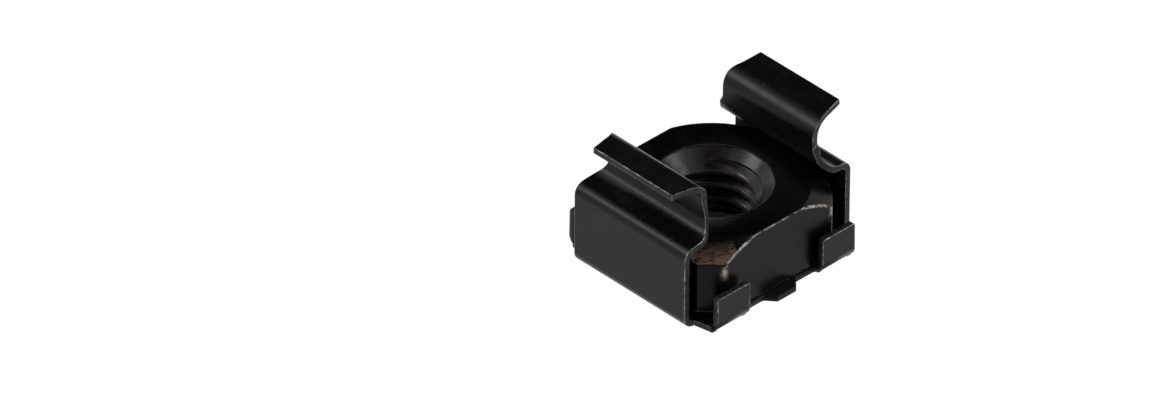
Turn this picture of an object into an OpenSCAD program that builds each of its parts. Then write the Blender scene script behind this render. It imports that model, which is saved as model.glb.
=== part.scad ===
// Rack cage nut: a loose square nut held in a folded spring-steel cage that snaps into a square panel hole.
// Millimetres. +Z is the screw's axis, the cage rests on z = 0, its two walls stand on the -X and +X sides.

/* [Sheet] */
// Thickness of the spring-steel sheet
sheet_t = 0.4; // [0.3:0.05:0.5]
// Inside radius of the folds along the base plate
base_fold_r = 0.4; // [0.2:0.05:0.6]

/* [Nut] */
// Width of the square nut across its flats
nut_w = 11; // [10:0.1:12]
// Thickness of the nut
nut_h = 4.6; // [4:0.1:5]
// Length cut off each side of the nut at its upright corners
nut_corner = 1.15; // [0.6:0.05:1.6]
// Diameter where the nut's turned top chamfer begins
nut_chamfer_d = 11.5; // [10.4:0.1:12.4]
// Slope of the nut's turned top chamfer, from flat
nut_chamfer_slope = 40; // [25:1:55]
// Height of the small break on the nut's bottom corners
nut_bottom_break = 0.3; // [0.1:0.05:0.5]

/* [Thread] */
// Nominal diameter of the screw
screw_d = 6; // [5:0.1:6.4]
// Pitch of the thread
pitch = 1; // [0.8:0.05:1.1]
// Diameter of the countersink's mouth at both ends of the bore
countersink_d = 7.2; // [6.8:0.1:7.6]
// Included angle of the countersinks
countersink_angle = 90; // [80:5:130]

/* [Base plate] */
// Gap between the nut and each side wall
side_play = 0.8; // [0.4:0.05:1]
// Gap between the nut and each tab
end_play = 0.3; // [0.15:0.05:0.5]
// Gap all round the screw in the base plate's clearance hole
hole_play = 0.8; // [0.6:0.05:1]
// Distance from the nut's middle plane to the near side of each tab
tab_x = 2.95; // [2.6:0.05:3.2]
// Width of each tab
tab_w = 2.6; // [2.2:0.05:2.8]
// Height of the tabs above the underside of the base
tab_h = 2.45; // [1.8:0.05:3.5]
// Radius of the tabs' upper corners
tab_corner_r = 0.15; // [0.05:0.05:0.4]
// How far the flat beside a tab's root runs out past the start of the tab's fold
root_reach = 0.35; // [0.1:0.05:0.5]
// How far the base's slanted corner stands out past the far side of the tab
corner_out = 0.1; // [0:0.05:0.3]
// Radius of the hollow where a recess meets a tab's root
recess_r = 0.35; // [0.1:0.05:0.4]
// Width of the lobe between two tabs, at its edge
lobe_w = 1.5; // [1:0.1:2]
// How far the lobe stands out past the recesses beside it
lobe_reach = 0.65; // [0.3:0.05:0.8]
// Radius of the hollow beside the lobe, and of the lobe's own corners
lobe_hollow_r = 0.3; // [0.1:0.05:0.4]
lobe_corner_r = 0.14; // [0.04:0.02:0.2]
// How far the recesses' edge lies inside the tabs' outer faces
recess_depth = 0.6; // [0.45:0.05:0.75]

/* [Side walls] */
// Length of each side wall
wall_l = 9.2; // [8.4:0.1:9.6]
// Height of the shoulder that bears on the panel
shoulder_h = 5.6; // [5.3:0.05:6]
// Inside radius of the fold at the top of each wall
wall_fold_r = 0.3; // [0.15:0.05:0.4]
// Rise of the shoulder towards the clip's neck, in degrees
shoulder_rise = 6; // [0:1:8]

/* [Clips] */
// Side of the square panel hole that the clips snap into
panel_hole = 9.5; // [9.3:0.05:9.7]
// What the two necks together lack to fill the panel hole
neck_play = 0.16; // [0.05:0.01:0.4]
// How far the pair of necks is set off towards the rear clip
neck_offset = 0.13; // [0:0.01:0.2]
// Radius of the hollow at the foot of each neck
foot_fold_r = 1; // [0.6:0.05:1.1]
// Clear height between the shoulder and the root of the ear
grip = 2.8; // [2.4:0.05:3.2]
// Width of the clip at the foot of its neck
foot_w = 8; // [7.6:0.1:8.2]
// Width of the clip at the top of its neck
neck_w = 7.5; // [7.2:0.1:7.6]
// Width of the ear where its fold ends
ear_root_w = 6.95; // [6.8:0.05:7.2]
// Width of the ear at its free edge
ear_tip_w = 6.4; // [6:0.1:6.8]

/* [Front ear, on the -X side] */
// Inside radius of the front ear's fold
front_ear_r = 0.4; // [0.3:0.05:0.6]
// Rise of the front ear towards its free edge, in degrees
front_ear_rise = 2; // [0:1:10]
// Distance from the screw's axis to the front ear's free edge
front_ear_reach = 6.5; // [6.2:0.05:7]

/* [Rear ear, on the +X side] */
// Inside radius of the rear ear's fold
rear_ear_r = 0.78; // [0.5:0.02:0.9]
// Rise of the rear ear towards its free edge, in degrees
rear_ear_rise = 9; // [4:1:14]
// Distance from the screw's axis to the rear ear's free edge
rear_ear_reach = 7.05; // [6.7:0.05:7.4]

/* [Hidden] */
$fn = 96;

// The cage is sized round the nut that it holds.
cage_w = nut_w + 2 * (side_play + sheet_t);
base_l = nut_w + 2 * (end_play + sheet_t);
base_hole_d = screw_d + 2 * hole_play;
thread_minor_d = screw_d - pitch;
// A fold under the nut is never rounder than the nut's play beside it, so the nut lies flat on the plate.
wall_base_r = min(base_fold_r, side_play);
tab_base_r = min(base_fold_r, end_play);
wall_out_r = wall_base_r + sheet_t;
tab_out_r = tab_base_r + sheet_t;
recess_y = base_l / 2 - recess_depth;
tab_far_x = tab_x + tab_w;

// The clips are laid out along the middle of the sheet's thickness.
half_t = sheet_t / 2;
wall_mid_x = cage_w / 2 - half_t;
wall_mid_r = wall_fold_r + half_t;
foot_mid_r = foot_fold_r + half_t;
front_neck_x = (panel_hole - neck_play) / 2 - neck_offset - half_t;
rear_neck_x = (panel_hole - neck_play) / 2 + neck_offset - half_t;
shoulder_mid_z = shoulder_h - half_t;
shoulder_start_x = wall_mid_x - wall_mid_r * (1 - sin(shoulder_rise));
ear_root_z = shoulder_h + grip + half_t;
// Largest step in degrees along a fold, and how far a cut runs past what it cuts.
fold_step = 5;
cut_over = 1;
// Facets in a rounded corner of an outline, and how far joined pieces of the sheet reach into each other.
round_steps = 6;
weld = 0.1;

// ---- folded sheet, drawn flat in a section's plane ----

// A fold is [centre, radius at the middle of the sheet, from angle, to angle]. The angle rises where the sheet
// turns left on its way and falls where it turns right.
function fold_line(fold, offset) =
    let (turn = sign(fold[3] - fold[2]), steps = ceil(abs(fold[3] - fold[2]) / fold_step), r = fold[1] - turn * offset)
    [for (i = [0:steps]) let (a = fold[2] + (fold[3] - fold[2]) * i / steps) fold[0] + r * [cos(a), sin(a)]];

// The line that runs beside the sheet's middle, at an offset to its left, from one cut end to the other.
function sheet_line(start, folds, end, end_heading, offset) = concat(
    [start + [0, offset]],
    [for (fold = folds, p = fold_line(fold, offset)) p],
    [end + offset * [-sin(end_heading), cos(end_heading)]]
);

// Section of the sheet, from a start where it lies level, through its folds, to an end.
module sheet_section(start, folds, end, end_heading) {
    left = sheet_line(start, folds, end, end_heading, half_t);
    right = sheet_line(start, folds, end, end_heading, -half_t);
    polygon(concat(left, [for (i = [len(right) - 1:-1:0]) right[i]]));
}

// Points along a chain of [x, y, radius], with each corner between its ends rounded to its radius.
function rounded(chain) = [
    for (i = [0:len(chain) - 1])
        let (corner = [chain[i].x, chain[i].y], r = chain[i].z)
        if (r == 0) corner
        else
            let (
                back = [chain[i - 1].x, chain[i - 1].y] - corner,
                ahead = [chain[i + 1].x, chain[i + 1].y] - corner,
                a = back / norm(back),
                b = ahead / norm(ahead),
                half_angle = acos(a * b) / 2,
                centre = corner + (a + b) / norm(a + b) * r / sin(half_angle),
                first = corner + a * r / tan(half_angle) - centre,
                last = corner + b * r / tan(half_angle) - centre
            )
            each [for (step = [0:round_steps])
                let (chord = first + (last - first) * step / round_steps) centre + chord * r / norm(chord)]
];

// ---- side walls and clips ----

// Where the shoulder ends and the foot of the neck begins, and where the upright neck begins and ends.
function foot_start(neck_x) = [
    neck_x + foot_mid_r * (1 - sin(shoulder_rise)),
    shoulder_mid_z + (shoulder_start_x - neck_x - foot_mid_r * (1 - sin(shoulder_rise))) * tan(shoulder_rise)
];
function neck_start(neck_x) = [neck_x, foot_start(neck_x).y + foot_mid_r * cos(shoulder_rise)];
function neck_end(neck_x, ear_r, ear_rise) = [neck_x, ear_root_z - (ear_r + half_t) * cos(ear_rise)];

// Half of the cage's section across the walls: base, wall, shoulder, neck and ear.
module half_section(neck_x, ear_r, ear_rise, ear_reach) {
    base_mid_r = wall_base_r + half_t;
    ear_mid_r = ear_r + half_t;
    ear_start_x = neck_x + ear_mid_r * (1 - sin(ear_rise));
    folds = [
        [[wall_mid_x - base_mid_r, half_t + base_mid_r], base_mid_r, -90, 0],
        [[wall_mid_x - wall_mid_r, shoulder_mid_z - wall_mid_r * cos(shoulder_rise)], wall_mid_r, 0, 90 - shoulder_rise],
        [neck_start(neck_x) + [foot_mid_r, 0], foot_mid_r, 270 - shoulder_rise, 180],
        [neck_end(neck_x, ear_r, ear_rise) + [ear_mid_r, 0], ear_mid_r, 180, 90 + ear_rise]
    ];
    tip = [ear_reach, ear_root_z + (ear_reach - ear_start_x) * tan(ear_rise)];
    sheet_section([0, half_t], folds, tip, ear_rise);
}

// Outline of one clip along a slope of 45 degrees, the slope of the foot: the wall's full length, narrowing
// smoothly into the foot of the neck, and on to the neck's top.
module clip_outline(neck_x, ear_r, ear_rise) {
    function along(p) = (p.y - p.x) / sqrt(2);
    steps = 12;
    low = along(foot_start(neck_x));
    high = along(neck_start(neck_x));
    top = along(neck_end(neck_x, ear_r, ear_rise)) - sheet_t;
    narrowing = [for (i = [0:steps]) let (s = i / steps) [
        wall_l / 2 + (foot_w - wall_l) / 2 * (1 - cos(180 * s)) / 2,
        low + (high - low) * s
    ]];
    right = concat([[wall_l / 2, -cage_w]], narrowing, [[neck_w / 2, top], [neck_w / 2, cage_w]]);
    polygon(concat(right, [for (i = [len(right) - 1:-1:0]) [-right[i].x, right[i].y]]));
}

// Outline of one clip seen from above: the ear narrows towards its free edge.
module ear_outline(neck_x, ear_r, ear_reach) {
    root_x = neck_x + ear_r + half_t;
    half = [
        [0, neck_w / 2], [neck_x + half_t, neck_w / 2],
        [root_x + half_t, ear_root_w / 2], [ear_reach + sheet_t, ear_tip_w / 2]
    ];
    polygon(concat(half, [for (i = [len(half) - 1:-1:0]) [half[i].x, -half[i].y]]));
}

// One side of the cage, standing on the +X side: half the base, a wall and its clip, cut to their outlines.
module side_with_clip(neck_x, ear_r, ear_rise, ear_reach) {
    neck_top_z = neck_end(neck_x, ear_r, ear_rise).y;
    intersection() {
        rotate([90, 0, 0]) linear_extrude(wall_l, center = true) half_section(neck_x, ear_r, ear_rise, ear_reach);
        rotate([0, -45, 0]) rotate([90, 0, 90]) linear_extrude(4 * cage_w, center = true)
            clip_outline(neck_x, ear_r, ear_rise);
        union() {
            translate([0, -wall_l, 0]) cube([cage_w, 2 * wall_l, neck_top_z]);
            linear_extrude(2 * ear_root_z) ear_outline(neck_x, ear_r, ear_reach);
        }
    }
}

// ---- base plate and tabs ----

// Half of the section across the tabs: base, fold and tab.
module tab_section() {
    mid_y = base_l / 2 - half_t;
    base_mid_r = tab_base_r + half_t;
    folds = [[[mid_y - base_mid_r, half_t + base_mid_r], base_mid_r, -90, 0]];
    sheet_section([0, half_t], folds, [mid_y, tab_h], 90);
}

// Outline of one tab seen from outside, with its upper corners rounded.
module tab_outline() {
    polygon(rounded([
        [tab_x, -cut_over, 0], [tab_x, tab_h, tab_corner_r],
        [tab_far_x, tab_h, tab_corner_r], [tab_far_x, -cut_over, 0]
    ]));
}

// One tab on the +X, +Y corner, from the start of its fold.
module tab() {
    strip_y = base_l / 2 - tab_out_r - weld;
    intersection() {
        rotate([90, 0, 90]) linear_extrude(cage_w) tab_section();
        translate([0, strip_y, 0]) rotate([90, 0, 0]) translate([0, 0, -base_l])
            linear_extrude(base_l) tab_outline();
    }
}

// Plan of the flat of the base plate, without its hole: the lobe between the tabs, the recesses beside it
// and the slanted corners between the walls and the tabs. The flat runs on a little beside each tab's root.
module plate_outline() {
    root_y = base_l / 2 - tab_out_r + root_reach;
    root_w = tab_w / 10;
    lobe_slant = lobe_reach * 0.85;
    quarter = rounded([
        [cage_w / 2 - wall_out_r, wall_l / 2, 0],
        [tab_far_x + corner_out, root_y, corner_out],
        [tab_far_x - root_w, root_y, 0],
        [tab_far_x - root_w, recess_y, 0],
        [tab_x + root_w, recess_y, 0],
        [tab_x + root_w, root_y, 0],
        [tab_x, root_y, 0],
        [tab_x, recess_y, min(recess_r, root_y - recess_y)],
        [lobe_w / 2 + lobe_slant, recess_y, lobe_hollow_r],
        [lobe_w / 2, recess_y + lobe_reach, lobe_corner_r],
        [0, recess_y + lobe_reach, 0]
    ]);
    last = len(quarter) - 1;
    polygon(concat(
        quarter,
        [for (i = [last - 1:-1:0]) [-quarter[i].x, quarter[i].y]],
        [for (i = [0:last]) [-quarter[i].x, -quarter[i].y]],
        [for (i = [last - 1:-1:0]) [quarter[i].x, -quarter[i].y]]
    ));
}

// The whole cage is one sheet, stamped and folded.
module cage()
    color([0.16, 0.16, 0.17]) difference() {
        union() {
            linear_extrude(sheet_t) plate_outline();
            side_with_clip(rear_neck_x, rear_ear_r, rear_ear_rise, rear_ear_reach);
            mirror([1, 0, 0]) side_with_clip(front_neck_x, front_ear_r, front_ear_rise, front_ear_reach);
            for (mx = [0, 1], my = [0, 1]) mirror([mx, 0, 0]) mirror([0, my, 0]) tab();
        }
        translate([0, 0, -cut_over]) cylinder(h = sheet_t + 2 * cut_over, d = base_hole_d);
    }

// ---- nut ----

// Square of the nut with its upright corners cut off.
module nut_outline() {
    far = nut_w / 2;
    near = nut_w / 2 - nut_corner;
    polygon([
        [far, near], [near, far], [-near, far], [-far, near],
        [-far, -near], [-near, -far], [near, -far], [far, -near]
    ]);
}

// Half section of the turned blank that the square is cut from: chamfered on top, corners broken below.
module nut_turning() {
    corner_r = norm([nut_w / 2, nut_w / 2 - nut_corner]);
    outer_r = corner_r + cut_over;
    chamfer_drop = (outer_r - nut_chamfer_d / 2) * tan(nut_chamfer_slope);
    break_r = corner_r - nut_bottom_break;
    polygon([
        [0, 0], [break_r, 0], [break_r + cut_over, cut_over], [outer_r, nut_h - chamfer_drop],
        [nut_chamfer_d / 2, nut_h], [0, nut_h]
    ]);
}

// A countersink opening downwards from z = 0.
module countersink() {
    depth = (countersink_d - thread_minor_d) / 2 / tan(countersink_angle / 2);
    rotate_extrude() polygon([
        [0, -cut_over], [countersink_d / 2 + cut_over * tan(countersink_angle / 2), -cut_over],
        [thread_minor_d / 2, depth], [0, depth]
    ]);
}

// The nut lies on the base plate. Its bore is at the thread's minor diameter.
module square_nut()
    color([0.10, 0.10, 0.11]) translate([0, 0, sheet_t]) difference() {
        intersection() {
            linear_extrude(nut_h) nut_outline();
            rotate_extrude() nut_turning();
        }
        translate([0, 0, -cut_over]) cylinder(h = nut_h + 2 * cut_over, d = thread_minor_d);
        countersink();
        translate([0, 0, nut_h]) mirror([0, 0, 1]) countersink();
    }

cage();
square_nut();
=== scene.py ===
"""Rack cage nut: a threaded square nut in a folded spring-steel cage, black finish with worn edges.

Metres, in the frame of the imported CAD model: +Z is the screw's axis and the cage stands on z = 0.
"""
import math

import bmesh
import bpy
from mathutils import Matrix, Vector
from mathutils.bvhtree import BVHTree

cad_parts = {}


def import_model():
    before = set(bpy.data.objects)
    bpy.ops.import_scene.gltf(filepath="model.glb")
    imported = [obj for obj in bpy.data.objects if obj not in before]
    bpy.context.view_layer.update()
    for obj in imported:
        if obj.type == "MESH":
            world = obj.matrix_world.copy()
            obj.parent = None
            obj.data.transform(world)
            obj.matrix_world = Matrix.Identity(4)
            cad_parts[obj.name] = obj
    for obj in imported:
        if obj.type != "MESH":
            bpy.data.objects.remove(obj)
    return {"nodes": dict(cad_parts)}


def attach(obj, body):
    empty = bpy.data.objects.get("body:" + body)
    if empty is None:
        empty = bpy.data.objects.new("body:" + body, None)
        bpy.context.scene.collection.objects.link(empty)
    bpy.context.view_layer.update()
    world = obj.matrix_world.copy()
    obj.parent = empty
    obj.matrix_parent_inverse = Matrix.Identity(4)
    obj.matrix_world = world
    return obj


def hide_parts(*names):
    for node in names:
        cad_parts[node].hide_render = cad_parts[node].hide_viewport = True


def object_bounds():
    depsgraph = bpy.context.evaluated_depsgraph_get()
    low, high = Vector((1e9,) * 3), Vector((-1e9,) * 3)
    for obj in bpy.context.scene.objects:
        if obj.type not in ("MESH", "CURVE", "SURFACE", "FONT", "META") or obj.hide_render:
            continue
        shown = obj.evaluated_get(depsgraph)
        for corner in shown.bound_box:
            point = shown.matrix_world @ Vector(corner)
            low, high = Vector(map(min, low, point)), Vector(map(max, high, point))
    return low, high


MM = 0.001

# ---- sizes, in millimetres ----

# Photograph: the camera's direction from the object, its distance, and the view across the picture.
VIEW_AZIMUTH = -44.6
VIEW_ELEVATION = 36.07
VIEW_ROLL = 0.71
VIEW_DISTANCE = 1000
VIEW_WIDTH = 67.79
# Where the part's origin lies from the middle of the picture, to the right and up.
VIEW_OFFSET = (7.49, -2.336)

# Cage: the sheet's thickness, and the rounding of its cut edges.
SHEET = 0.4
EDGE_ROUND = 0.045
# A face is broad where the solid behind it is no deeper than the sheet times this factor.
DEPTH_SLACK = 1.12
# Bends in a cut edge are turned by more than the first angle, rims that get rounded by more than the second.
BEND_ANGLE = 10
RIM_ANGLE = 35
# Below this height, and this far outside the nut's middle, the rims at the tabs' roots stay sharp.
NICK_TOP = 1.05
NICK_Y = 5.3
# Above this height a bend in the cut edge is left to the rounding of the edge beside it.
EAR_LOW = 7.0

# Nut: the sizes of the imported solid, and the thread that its plain bore stands for.
NUT_HALF = 5.5
NUT_CORNER = 1.15
NUT_LOW = 0.4
NUT_TOP = 5.0
CHAMFER_R = 5.75
CHAMFER_SLOPE = 40
BOTTOM_BREAK = 0.3
MOUTH_R = 3.6
MINOR_R = 2.5
PITCH = 1.0
THREAD_DEPTH = 0.5
COUNTERSINK_SLOPE = 1.0
CREST_FLAT = 0.26
ROOT_HALF_FLAT = 0.06
THREAD_PHASE = 0.2
CORNER_ROUND = 0.25
RIM_ROUND = 0.07
BOTTOM_ROUND = 0.05
# Rounding of the nut's chamfer where it starts and at its foot.
CHAMFER_ROUNDS = (0.08, 0.09)
# Fineness of the nut's mesh: the longest step round it, steps in a rounded corner, and rows down its bore.
OUTLINE_STEP = 0.24
CORNER_STEPS = 5
BORE_ROWS = 190
# The chamfer gets a painted coppery reflection about the front corner, the side that faces the camera: its
# direction and half width, in degrees.
COPPER_REFLECTION_ANGLE = -135
COPPER_REFLECTION_HALF_WIDTH = 14

# Studio, in metres and degrees: black flags and softboxes, (name, azimuth, elevation, size...). A softbox's
# last number is its brightness, with white as 1.
FLAG_DISTANCE = 2.0
FLAGS = [
    ("back_flag", 135.4, 38, 2.4, 2.0),
    ("top_flag", -44.6, 80, 1.9, 1.9),
    ("front_flag", -44.6, 52, 1.0, 0.6),
]
SOFTBOX_DISTANCE = 1.5
SOFTBOXES = [
    ("left_softbox", -134.6, 38, 0.62, 4.6),
    ("right_softbox", 45.4, 38, 0.62, 3.6),
]
# The floor under the nut's bore is in deep shadow out to this radius, in millimetres.
BORE_SHADE_R = 4.4


def polar(radius, angle):
    """A point at a radius and an angle in degrees."""
    return Vector((radius * math.cos(math.radians(angle)), radius * math.sin(math.radians(angle))))


# ---- materials ----

def node_of(tree, kind, **values):
    """A new shader node with its properties and plain input values set."""
    node = tree.nodes.new(kind)
    for name, value in values.items():
        if name in node.inputs:
            node.inputs[name].default_value = value
        else:
            setattr(node, name, value)
    return node


def noise(tree, scale, detail=3.0, roughness=0.55, stretch=(1, 1, 1)):
    """Noise in the object's own coordinates. The scale counts features per millimetre."""
    place = node_of(tree, "ShaderNodeTexCoord")
    mapping = node_of(tree, "ShaderNodeMapping", Scale=[s / MM for s in stretch])
    tree.links.new(place.outputs["Object"], mapping.inputs["Vector"])
    texture = node_of(tree, "ShaderNodeTexNoise", Scale=scale, Detail=detail, Roughness=roughness)
    tree.links.new(mapping.outputs["Vector"], texture.inputs["Vector"])
    return texture.outputs["Fac"]


def ramp(tree, factor, *stops):
    """Maps a factor through stops of (position, grey value or colour)."""
    node = node_of(tree, "ShaderNodeValToRGB")
    elements = node.color_ramp.elements
    while len(elements) < len(stops):
        elements.new(0.5)
    for element, (position, value) in zip(elements, stops):
        element.position = position
        colour = value if isinstance(value, tuple) else (value, value, value)
        element.color = (*colour, 1)
    tree.links.new(factor, node.inputs["Fac"])
    return node.outputs["Color"]


def combine(tree, operation, a, b):
    """A math node on two outputs or plain numbers."""
    node = node_of(tree, "ShaderNodeMath", operation=operation, use_clamp=True)
    for socket, value in zip(node.inputs, (a, b)):
        if isinstance(value, (int, float)):
            socket.default_value = value
        else:
            tree.links.new(value, socket)
    return node.outputs["Value"]


def mix_colour(tree, factor, a, b):
    """Mixes two colours or outputs by a factor."""
    node = node_of(tree, "ShaderNodeMix", data_type="RGBA")
    for socket, value in zip((node.inputs[0], node.inputs[6], node.inputs[7]), (factor, a, b)):
        if isinstance(value, tuple):
            socket.default_value = (*value, 1)
        elif isinstance(value, (int, float)):
            socket.default_value = value
        else:
            tree.links.new(value, socket)
    return node.outputs[2]


def new_material(name, specular):
    """A material with a Principled shader, and its node tree."""
    material = bpy.data.materials.new(name)
    material.use_nodes = True
    tree = material.node_tree
    shader = tree.nodes["Principled BSDF"]
    shader.inputs["Specular IOR Level"].default_value = specular
    return material, tree, shader


def bump(tree, shader, height, strength, distance):
    """Feeds a height into the shader's normal. The distance is in millimetres."""
    node = node_of(tree, "ShaderNodeBump", Strength=strength, Distance=distance * MM)
    tree.links.new(height, node.inputs["Height"])
    tree.links.new(node.outputs["Normal"], shader.inputs["Normal"])


def stored(tree, name):
    """A value stored on a mesh's vertices under a name, from 0 to 1."""
    return node_of(tree, "ShaderNodeAttribute", attribute_name=name).outputs["Fac"]


def height_share(tree, top):
    """Height in the object's own coordinates, as a share of a top height in millimetres."""
    place = node_of(tree, "ShaderNodeTexCoord")
    split = node_of(tree, "ShaderNodeSeparateXYZ")
    tree.links.new(place.outputs["Object"], split.inputs["Vector"])
    return combine(tree, "MULTIPLY", split.outputs["Z"], 1 / (top * MM))


def black_sheet():
    """Blackened spring steel: satin, with faint brown smudges and small bright scuffs."""
    material, tree, shader = new_material("cage black sheet", specular=0.18)
    smudge = noise(tree, 0.5, 4, 0.6)
    base = ramp(tree, smudge, (0.35, (0.0035, 0.0035, 0.0037)), (0.7, (0.008, 0.0072, 0.0068)))
    speck = ramp(tree, noise(tree, 6, 2, 0.5), (0.66, 0.0), (0.74, 1.0))
    scuff = combine(tree, "MULTIPLY", speck, ramp(tree, noise(tree, 0.6, 2), (0.5, 0.0), (0.7, 1.0)))
    base = mix_colour(tree, scuff, base, (0.11, 0.10, 0.095))
    tree.links.new(base, shader.inputs["Base Color"])
    rough = ramp(tree, noise(tree, 1.2, 4, 0.65), (0.3, 0.24), (0.7, 0.36))
    tree.links.new(rough, shader.inputs["Roughness"])
    bump(tree, shader, noise(tree, 6, 3, 0.65), 0.4, 0.012)
    return material


def cut_sheet():
    """The sheet's cut edges: blackened, rough and patchily rubbed bare."""
    material, tree, shader = new_material("cage cut edge", specular=0.25)
    streak = ramp(tree, noise(tree, 3, 3, 0.7), (0.4, 0.0), (0.75, 1.0))
    base = mix_colour(tree, streak, (0.010, 0.0095, 0.009), (0.05, 0.047, 0.044))
    tree.links.new(base, shader.inputs["Base Color"])
    tree.links.new(ramp(tree, noise(tree, 5, 3), (0.3, 0.45), (0.7, 0.65)), shader.inputs["Roughness"])
    bump(tree, shader, noise(tree, 8, 3, 0.7), 0.5, 0.02)
    return material


def worn_edge():
    """The rounded edge of the cut sheet, rubbed down to bright steel in places."""
    material, tree, shader = new_material("cage worn edge", specular=0.6)
    bare = ramp(tree, noise(tree, 2.2, 4, 0.7), (0.44, 0.0), (0.64, 1.0))
    base = mix_colour(tree, bare, (0.02, 0.019, 0.018), (0.34, 0.325, 0.305))
    tree.links.new(base, shader.inputs["Base Color"])
    tree.links.new(ramp(tree, bare, (0.0, 0.0), (1.0, 0.9)), shader.inputs["Metallic"])
    shader.inputs["Roughness"].default_value = 0.3
    return material


def black_nut():
    """Blackened machined steel: smooth, bare on worn edges, with painted reflections: bare-steel patches on
    the top part of the cut corners' edges, and a coppery tint on the chamfer where it faces the camera.
    """
    material, tree, shader = new_material("nut black steel", specular=0.12)
    smudge = noise(tree, 0.6, 4, 0.6)
    base = ramp(tree, smudge, (0.35, (0.0016, 0.0016, 0.0017)), (0.7, (0.0038, 0.0034, 0.0032)))
    # Painted reflection: the corner edges take bare-steel patches on their top part only, standing in for a
    # lit patch.
    reflection_height_share = ramp(tree, height_share(tree, NUT_TOP), (0.56, 0.0), (0.72, 1.0))
    corner = combine(tree, "MULTIPLY", stored(tree, "corner"), reflection_height_share)
    patches = ramp(tree, noise(tree, 2.5, 5, 0.75), (0.38, 0.0), (0.56, 1.0))
    # Bare steel: real wear on the edges, and the painted corner reflection.
    bare = combine(tree, "MULTIPLY", combine(tree, "MAXIMUM", stored(tree, "wear"), corner), patches)
    streaks = ramp(tree, noise(tree, 3.0, 4, 0.7, stretch=(1, 1, 4)), (0.36, 0.0), (0.55, 1.0))
    # Painted coppery reflection on the chamfer where it faces the camera, broken into streaks by noise.
    rubbed = combine(tree, "MULTIPLY", stored(tree, "copper_reflection"), streaks)
    base = mix_colour(tree, rubbed, base, (0.24, 0.155, 0.12))
    base = mix_colour(tree, bare, base, (0.42, 0.39, 0.36))
    tree.links.new(base, shader.inputs["Base Color"])
    tree.links.new(combine(tree, "MULTIPLY", bare, 0.7), shader.inputs["Metallic"])
    tree.links.new(ramp(tree, noise(tree, 1.5, 4, 0.6), (0.3, 0.22), (0.7, 0.34)), shader.inputs["Roughness"])
    bump(tree, shader, noise(tree, 7, 4, 0.65), 0.25, 0.015)
    return material


def black_thread():
    """The countersinks and the thread: turned, glossy, with fine marks round the axis, and bare crests, part
    wear and part painted highlight.
    """
    material, tree, shader = new_material("nut thread", specular=0.28)
    patches = ramp(tree, noise(tree, 2.0, 5, 0.75), (0.35, 0.0), (0.65, 1.0))
    # Bare on the crests: part wear, part painted highlight.
    bare = combine(tree, "MULTIPLY", stored(tree, "wear"), patches)
    stain = ramp(tree, noise(tree, 0.9, 4, 0.6), (0.35, (0.004, 0.0038, 0.0036)), (0.7, (0.03, 0.021, 0.016)))
    base = mix_colour(tree, bare, stain, (0.25, 0.22, 0.2))
    tree.links.new(base, shader.inputs["Base Color"])
    tree.links.new(combine(tree, "MULTIPLY", bare, 0.6), shader.inputs["Metallic"])
    tree.links.new(ramp(tree, noise(tree, 2, 4, 0.7), (0.3, 0.12), (0.7, 0.3)), shader.inputs["Roughness"])
    marks = noise(tree, 1.5, 3, 0.6, stretch=(1, 1, 9))
    bump(tree, shader, marks, 0.5, 0.03)
    return material


# ---- the cage ----

def cut_faces(mesh_bm):
    """Marks each triangle that lies on the sheet's cut edge: the solid behind it is deeper than the sheet."""
    tree = BVHTree.FromBMesh(mesh_bm)
    for face in mesh_bm.faces:
        start = face.calc_center_median() - face.normal * 0.002 * MM
        hit, normal, _, depth = tree.ray_cast(start, -face.normal)
        broad = hit is not None and depth < DEPTH_SLACK * SHEET * MM and abs(normal.dot(face.normal)) > 0.9
        face.material_index = 0 if broad else 1


def join_bends(bm):
    """Joins the cut faces on both sides of the bend where an ear's taper starts. The bend's own edge runs
    beside the rim that gets rounded, and would throw the rounding far off."""
    bends = [
        edge for edge in bm.edges
        if len(edge.link_faces) == 2
        and all(face.material_index == 1 for face in edge.link_faces)
        and (edge.verts[0].co.z + edge.verts[1].co.z) / 2 > EAR_LOW * MM
        and math.radians(BEND_ANGLE) < edge.calc_face_angle() < math.radians(RIM_ANGLE)
    ]
    bmesh.ops.dissolve_edges(bm, edges=bends, use_verts=False)


def weigh_edges(bm):
    """Gives the sheet's cut edges the weight that rounds them, but not the tight nicks at the tabs' roots."""
    layer = bm.edges.layers.float.new("bevel_weight_edge")
    for edge in bm.edges:
        middle = (edge.verts[0].co + edge.verts[1].co) / 2 / MM
        nick = abs(middle.y) > NICK_Y and middle.z < NICK_TOP
        if len(edge.link_faces) == 2 and edge.calc_face_angle() > math.radians(RIM_ANGLE) and not nick:
            edge[layer] = 1.0


def cage_piece(node, materials):
    """A copy of the CAD sheet with its cut edges rounded and marked as worn."""
    bm = bmesh.new()
    bm.from_mesh(node.data)
    bmesh.ops.remove_doubles(bm, verts=bm.verts, dist=0.001 * MM)
    bmesh.ops.triangulate(bm, faces=bm.faces)
    cut_faces(bm)
    bmesh.ops.dissolve_limit(
        bm, angle_limit=math.radians(1), verts=bm.verts, edges=bm.edges, delimit={"MATERIAL"}
    )
    join_bends(bm)
    weigh_edges(bm)
    mesh = bpy.data.meshes.new("cage_sheet")
    bm.to_mesh(mesh)
    bm.free()
    piece = bpy.data.objects.new("cage_sheet", mesh)
    bpy.context.scene.collection.objects.link(piece)
    for material in materials:
        mesh.materials.append(material)
    mesh.shade_smooth()
    rounding = piece.modifiers.new("edge", "BEVEL")
    rounding.width = EDGE_ROUND * MM
    rounding.segments = 2
    rounding.limit_method = "WEIGHT"
    rounding.use_clamp_overlap = False
    rounding.material = 2
    normals = piece.modifiers.new("normals", "WEIGHTED_NORMAL")
    normals.keep_sharp = True
    normals.weight = 100
    return piece


# ---- the nut ----

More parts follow.
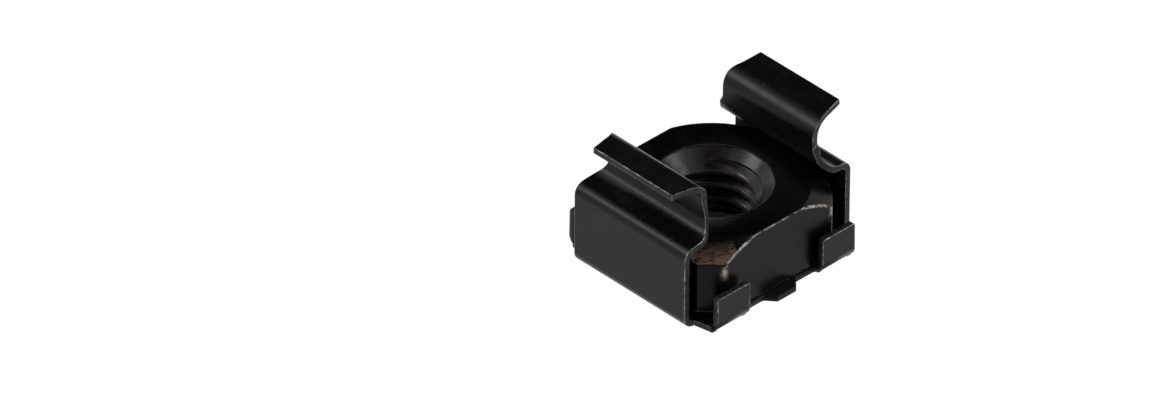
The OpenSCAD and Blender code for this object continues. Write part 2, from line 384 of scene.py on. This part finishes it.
def rounded_outline(corners, radius, arc_steps, longest):
    """Points round a convex outline with its corners rounded, none further apart than the longest step."""
    points = []
    count = len(corners)
    for i, corner in enumerate(corners):
        back = (corners[i - 1] - corner).normalized()
        ahead = (corners[(i + 1) % count] - corner).normalized()
        half_angle = back.angle(ahead) / 2
        reach = radius / math.tan(half_angle)
        centre = corner + (back + ahead).normalized() * radius / math.sin(half_angle)
        first = corner + back * reach - centre
        last = corner + ahead * reach - centre
        for step in range(arc_steps + 1):
            points.append(centre + first.slerp(last, step / arc_steps).normalized() * radius)
    filled = []
    for i, point in enumerate(points):
        after = points[(i + 1) % len(points)]
        pieces = max(1, math.ceil((after - point).length / longest))
        filled += [point.lerp(after, step / pieces) for step in range(pieces)]
    return filled


def nut_corners():
    """The square's outline with its upright corners cut off, anticlockwise."""
    far, near = NUT_HALF, NUT_HALF - NUT_CORNER
    quarter = [Vector((far, -near)), Vector((far, near))]
    return [Matrix.Rotation(math.radians(90 * i), 2) @ point for i in range(4) for point in quarter]


def rounded_profile(points, radii, wears):
    """Rows along a profile with its inner corners rounded: [(point, wear)], with a wear for each rounding."""
    rows = [(points[0], 0.0)]
    for i in range(1, len(points) - 1):
        corner = points[i]
        back, ahead = points[i - 1] - corner, points[i + 1] - corner
        reach = min(radii[i], back.length * 0.45, ahead.length * 0.45)
        start, end = corner + back.normalized() * reach, corner + ahead.normalized() * reach
        hold = 0.5 * reach
        rows.append((start + back.normalized() * hold, 0.0))
        for step in range(5):
            t = step / 4
            rows.append((start.lerp(corner, t).lerp(corner.lerp(end, t), t), wears[i]))
        rows.append((end + ahead.normalized() * hold, 0.0))
    rows.append((points[-1], 0.0))
    return rows


def thread_radius(angle, z):
    """Radius of the bore's wall: the right-handed thread, opened by a countersink at each end."""
    turn = (z / PITCH - angle / 360 + THREAD_PHASE) % 1.0
    from_root = abs(turn - 0.5) * PITCH
    flank = (PITCH - CREST_FLAT) / 2
    groove = min(THREAD_DEPTH, max(0.0, flank - from_root) * THREAD_DEPTH / (flank - ROOT_HALF_FLAT))
    cones = [MOUTH_R - depth * COUNTERSINK_SLOPE for depth in (NUT_TOP - z, z - NUT_LOW)]
    return max(MINOR_R + groove, *cones)


def nut_piece(body_material, thread_material):
    """The nut with rounded edges and its thread, as one closed mesh of rows round the axis."""
    slope = math.tan(math.radians(CHAMFER_SLOPE))
    corner_r = math.hypot(NUT_HALF, NUT_HALF - NUT_CORNER)
    bm = bmesh.new()
    wear_and_crest_highlight_layer = bm.verts.layers.float.new("wear")
    corner_reflection_layer = bm.verts.layers.float.new("corner")
    copper_reflection_layer = bm.verts.layers.float.new("copper_reflection")
    corners = nut_corners()
    columns = []
    outline = rounded_outline(corners, CORNER_ROUND, CORNER_STEPS, OUTLINE_STEP)
    for point in outline:
        radius = point.length
        angle = math.degrees(math.atan2(point.y, point.x))
        chamfer = max(RIM_ROUND, (radius - CHAMFER_R) * slope)
        side_top = NUT_TOP - chamfer
        broken = max(0.0, radius - (corner_r - BOTTOM_BREAK))
        profile = [
            Vector((MOUTH_R + RIM_ROUND, NUT_TOP)),
            Vector((min(CHAMFER_R, radius - RIM_ROUND), NUT_TOP)),
            Vector((radius, NUT_TOP - chamfer)),
            Vector((radius, NUT_LOW + max(BOTTOM_ROUND, broken))),
            Vector((radius - max(BOTTOM_ROUND, broken), NUT_LOW)),
            Vector((MOUTH_R + RIM_ROUND, NUT_LOW)),
        ]
        at_corner = min((point - corner).length for corner in corners) < 0.45 * CORNER_ROUND
        on_flat = max(abs(point.x), abs(point.y)) > NUT_HALF - 0.02 and not at_corner
        # The chamfer's vertices on this side get a painted coppery reflection.
        in_copper_reflection = abs(angle - COPPER_REFLECTION_ANGLE) < COPPER_REFLECTION_HALF_WIDTH
        radii = [0, *CHAMFER_ROUNDS, BOTTOM_ROUND, BOTTOM_ROUND, 0]
        rows = rounded_profile(profile, radii, [0, 0, float(on_flat), 0.3, 0.2, 0])
        span = NUT_TOP - NUT_LOW - 2 * RIM_ROUND
        for step in range(BORE_ROWS + 1):
            z = NUT_LOW + RIM_ROUND + span * step / BORE_ROWS
            bore_r = thread_radius(angle, z)
            # Thread crests: bare steel, part wear and part painted highlight.
            rows.append((Vector((bore_r, z)), 0.5 if bore_r < MINOR_R + 0.01 else 0.0))
        column = []
        for (r, z), wear in rows:
            place = polar(r, angle)
            vertex = bm.verts.new(Vector((place.x, place.y, z)) * MM)
            vertex[wear_and_crest_highlight_layer] = wear
            # Painted reflection: the edges between the ±Y sides and the cut corners, below the chamfer, take
            # bare-steel patches in the material.
            vertex[corner_reflection_layer] = float(
                at_corner and abs(point.y) > abs(point.x) and radius - r < 0.01 and z < side_top - 0.1
            )
            vertex[copper_reflection_layer] = float(
                in_copper_reflection and r > CHAMFER_R + 0.1 and side_top + 0.05 < z < NUT_TOP - 0.05
            )
            column.append(vertex)
        columns.append(column)
    count = len(columns)
    length = len(columns[0])
    outside = length - BORE_ROWS - 1
    for i in range(count):
        here, there = columns[i], columns[(i + 1) % count]
        for j in range(length):
            k = (j + 1) % length
            face = bm.faces.new((here[j], here[k], there[k], there[j]))
            face.smooth = True
            face.material_index = 1 if j >= outside - 1 else 0
    bmesh.ops.recalc_face_normals(bm, faces=bm.faces)
    mesh = bpy.data.meshes.new("threaded_nut")
    bm.to_mesh(mesh)
    bm.free()
    mesh.materials.append(body_material)
    mesh.materials.append(thread_material)
    piece = bpy.data.objects.new("threaded_nut", mesh)
    bpy.context.scene.collection.objects.link(piece)
    return piece


# ---- studio ----

def look_from(azimuth, elevation):
    """Unit vector towards the viewer: azimuth 0 is on the -Y side, 90 on the +X side."""
    a, e = math.radians(azimuth), math.radians(elevation)
    return Vector((math.sin(a) * math.cos(e), -math.cos(a) * math.cos(e), math.sin(e)))


def facing(direction, distance):
    """Matrix of an object that stands that way and that far off and faces the origin, in metres."""
    turn = direction.to_track_quat("Z", "Y").to_matrix().to_4x4()
    return Matrix.Translation(direction * distance) @ turn


def make_camera():
    """The photograph's camera: long lens, the part below and to the right of the picture's middle."""
    data = bpy.data.cameras.new("camera")
    data.sensor_width = 36
    data.lens = data.sensor_width * VIEW_DISTANCE / VIEW_WIDTH
    data.clip_start, data.clip_end = 0.01, 20
    camera = bpy.data.objects.new("camera", data)
    bpy.context.scene.collection.objects.link(camera)
    back = look_from(VIEW_AZIMUTH, VIEW_ELEVATION)
    level = Vector((math.cos(math.radians(VIEW_AZIMUTH)), math.sin(math.radians(VIEW_AZIMUTH)), 0))
    upright = back.cross(level)
    roll = math.radians(VIEW_ROLL)
    right = level * math.cos(roll) + upright * math.sin(roll)
    up = upright * math.cos(roll) - level * math.sin(roll)
    aim = (right * -VIEW_OFFSET[0] + up * -VIEW_OFFSET[1]) * MM
    place = back * VIEW_DISTANCE * MM
    axis_z = (place - aim).normalized()
    axis_x = (right - axis_z * right.dot(axis_z)).normalized()
    axis_y = axis_z.cross(axis_x)
    matrix = Matrix((axis_x, axis_y, axis_z)).transposed().to_4x4()
    matrix.translation = place
    camera.matrix_world = matrix
    bpy.context.scene.camera = camera


def plane(name, width, height, matrix, material):
    """A flat card for the studio."""
    mesh = bpy.data.meshes.new(name)
    x, y = width / 2, height / 2
    mesh.from_pydata([(-x, -y, 0), (x, -y, 0), (x, y, 0), (-x, y, 0)], [], [(0, 1, 2, 3)])
    mesh.materials.append(material)
    card = bpy.data.objects.new(name, mesh)
    card.matrix_world = matrix
    bpy.context.scene.collection.objects.link(card)


def softbox(name, azimuth, elevation, distance, size, radiance):
    """A square soft light whose face shows the given brightness, white being 1."""
    light = bpy.data.lights.new(name, "AREA")
    light.shape = "SQUARE"
    light.size = size
    light.energy = radiance * math.pi * size * size
    lamp = bpy.data.objects.new(name, light)
    lamp.matrix_world = facing(look_from(azimuth, elevation), distance)
    bpy.context.scene.collection.objects.link(lamp)


def seen_as_background(tree):
    """1 for camera, glossy and transmission rays, 0 for the rest."""
    path = node_of(tree, "ShaderNodeLightPath")
    seen = combine(tree, "ADD", path.outputs["Is Camera Ray"], path.outputs["Is Glossy Ray"])
    return combine(tree, "ADD", seen, path.outputs["Is Transmission Ray"])


def make_world():
    """White wherever it is seen or mirrored, a plain grey light everywhere else."""
    world = bpy.data.worlds.new("studio")
    world.use_nodes = True
    bpy.context.scene.world = world
    tree = world.node_tree
    background = tree.nodes["Background"]
    background.inputs["Color"].default_value = (1, 1, 1, 1)
    strength = ramp(tree, seen_as_background(tree), (0.0, 0.45), (1.0, 1.0))
    tree.links.new(strength, background.inputs["Strength"])


def floor_material():
    """A white floor that keeps most of its white in the object's soft shadow."""
    material = bpy.data.materials.new("pale floor")
    material.use_nodes = True
    tree = material.node_tree
    tree.nodes.clear()
    matte = node_of(tree, "ShaderNodeBsdfDiffuse", Color=(0.86, 0.86, 0.86, 1))
    white = node_of(tree, "ShaderNodeEmission", Color=(1, 1, 1, 1), Strength=1.08)
    place = node_of(tree, "ShaderNodeTexCoord")
    reach = node_of(tree, "ShaderNodeVectorMath", operation="LENGTH")
    tree.links.new(place.outputs["Object"], reach.inputs[0])
    outside = combine(tree, "GREATER_THAN", reach.outputs["Value"], BORE_SHADE_R * MM)
    share = combine(tree, "MULTIPLY", combine(tree, "MULTIPLY", seen_as_background(tree), outside), 0.9)
    mixed = node_of(tree, "ShaderNodeMixShader")
    output = node_of(tree, "ShaderNodeOutputMaterial")
    tree.links.new(share, mixed.inputs["Fac"])
    tree.links.new(matte.outputs["BSDF"], mixed.inputs[1])
    tree.links.new(white.outputs["Emission"], mixed.inputs[2])
    tree.links.new(mixed.outputs["Shader"], output.inputs["Surface"])
    return material


def flag_material():
    """Matt black card."""
    material = bpy.data.materials.new("black flag")
    material.use_nodes = True
    shader = material.node_tree.nodes["Principled BSDF"]
    shader.inputs["Base Color"].default_value = (0.003, 0.003, 0.003, 1)
    shader.inputs["Specular IOR Level"].default_value = 0.0
    shader.inputs["Roughness"].default_value = 1.0
    return material


def make_studio(floor_z):
    """Floor, soft lights, and black flags that keep the level faces and the countersink's far side dark."""
    plane("floor", 8, 8, Matrix.Translation((0, 0, floor_z)), floor_material())
    black = flag_material()
    for name, azimuth, elevation, width, height in FLAGS:
        plane(name, width, height, facing(look_from(azimuth, elevation), FLAG_DISTANCE), black)
    for name, azimuth, elevation, size, radiance in SOFTBOXES:
        softbox(name, azimuth, elevation, SOFTBOX_DISTANCE, size, radiance)
    make_world()
    bpy.context.scene.view_settings.view_transform = "Standard"


def main():
    """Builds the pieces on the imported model, then the studio round them."""
    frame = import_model()
    cad_box = [list(corner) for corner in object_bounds()]
    cage = cage_piece(frame["nodes"]["cage"], [black_sheet(), cut_sheet(), worn_edge()])
    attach(cage, "root")
    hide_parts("cage")
    nut = nut_piece(black_nut(), black_thread())
    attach(nut, "root")
    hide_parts("square_nut")
    make_studio(cad_box[0][2] - 0.005 * MM)
    make_camera()
    bpy.context.view_layer.update()


main()
